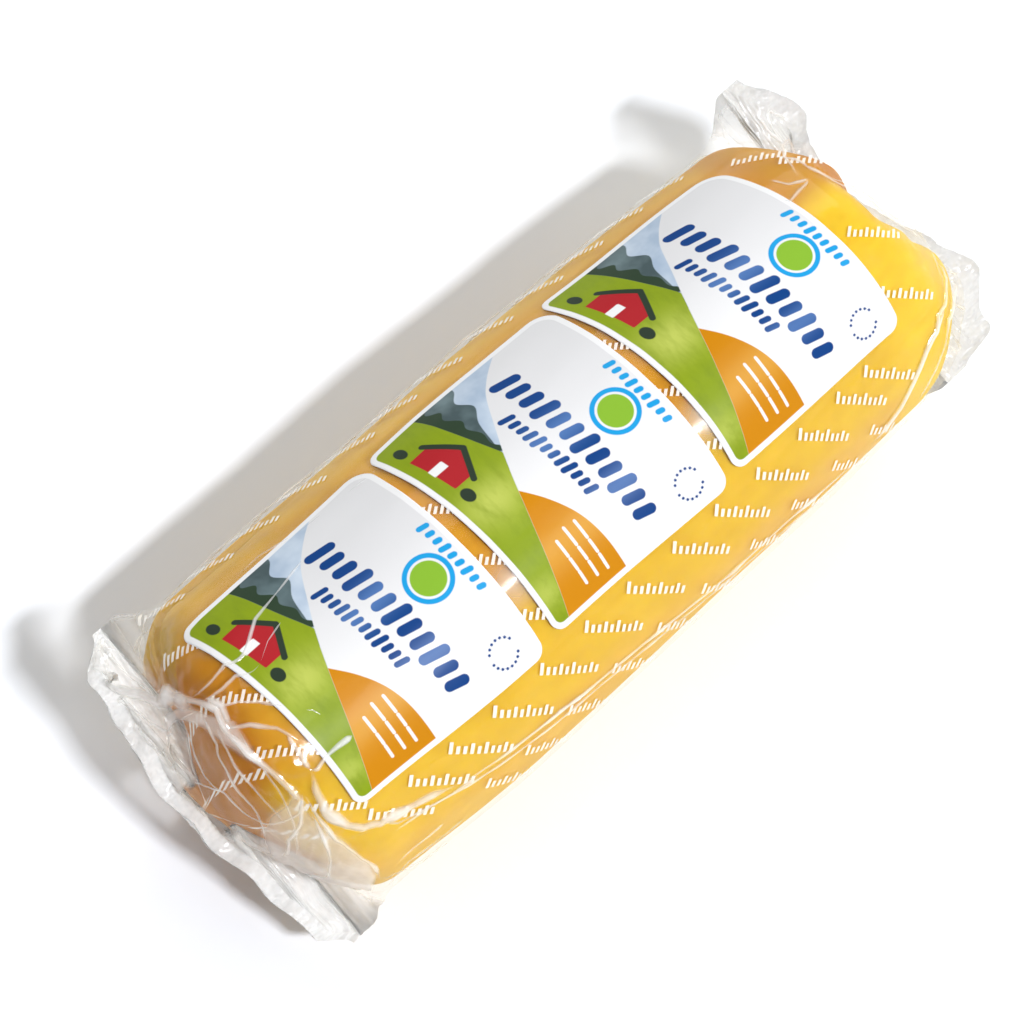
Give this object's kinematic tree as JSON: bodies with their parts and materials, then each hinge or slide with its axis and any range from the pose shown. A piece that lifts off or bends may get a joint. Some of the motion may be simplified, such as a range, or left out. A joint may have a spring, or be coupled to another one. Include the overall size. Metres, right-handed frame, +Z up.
{
  "type": "packed smoked cheese log",
  "caption": "Smoked cheese log sealed in clear film with crumpled end flaps and a row of labels along its top, resting on its flat base.",
  "frame": {"origin": "on the flat base, under the middle of the middle label", "axes": "+X along the log to its far end, -Y the side in the light, +Z up"},
  "size_m": [0.2685, 0.0966, 0.088],
  "materials": {
    "pack_material": "clear gloss film over amber cheese",
    "label_near_material": "printed, satin",
    "label_middle_material": "printed, satin",
    "label_far_material": "printed, satin"
  },
  "bodies": {
    "root": {"pack": "pack_material", "label_near": "label_near_material", "label_middle": "label_middle_material", "label_far": "label_far_material"}
  },
  "joints": []
}
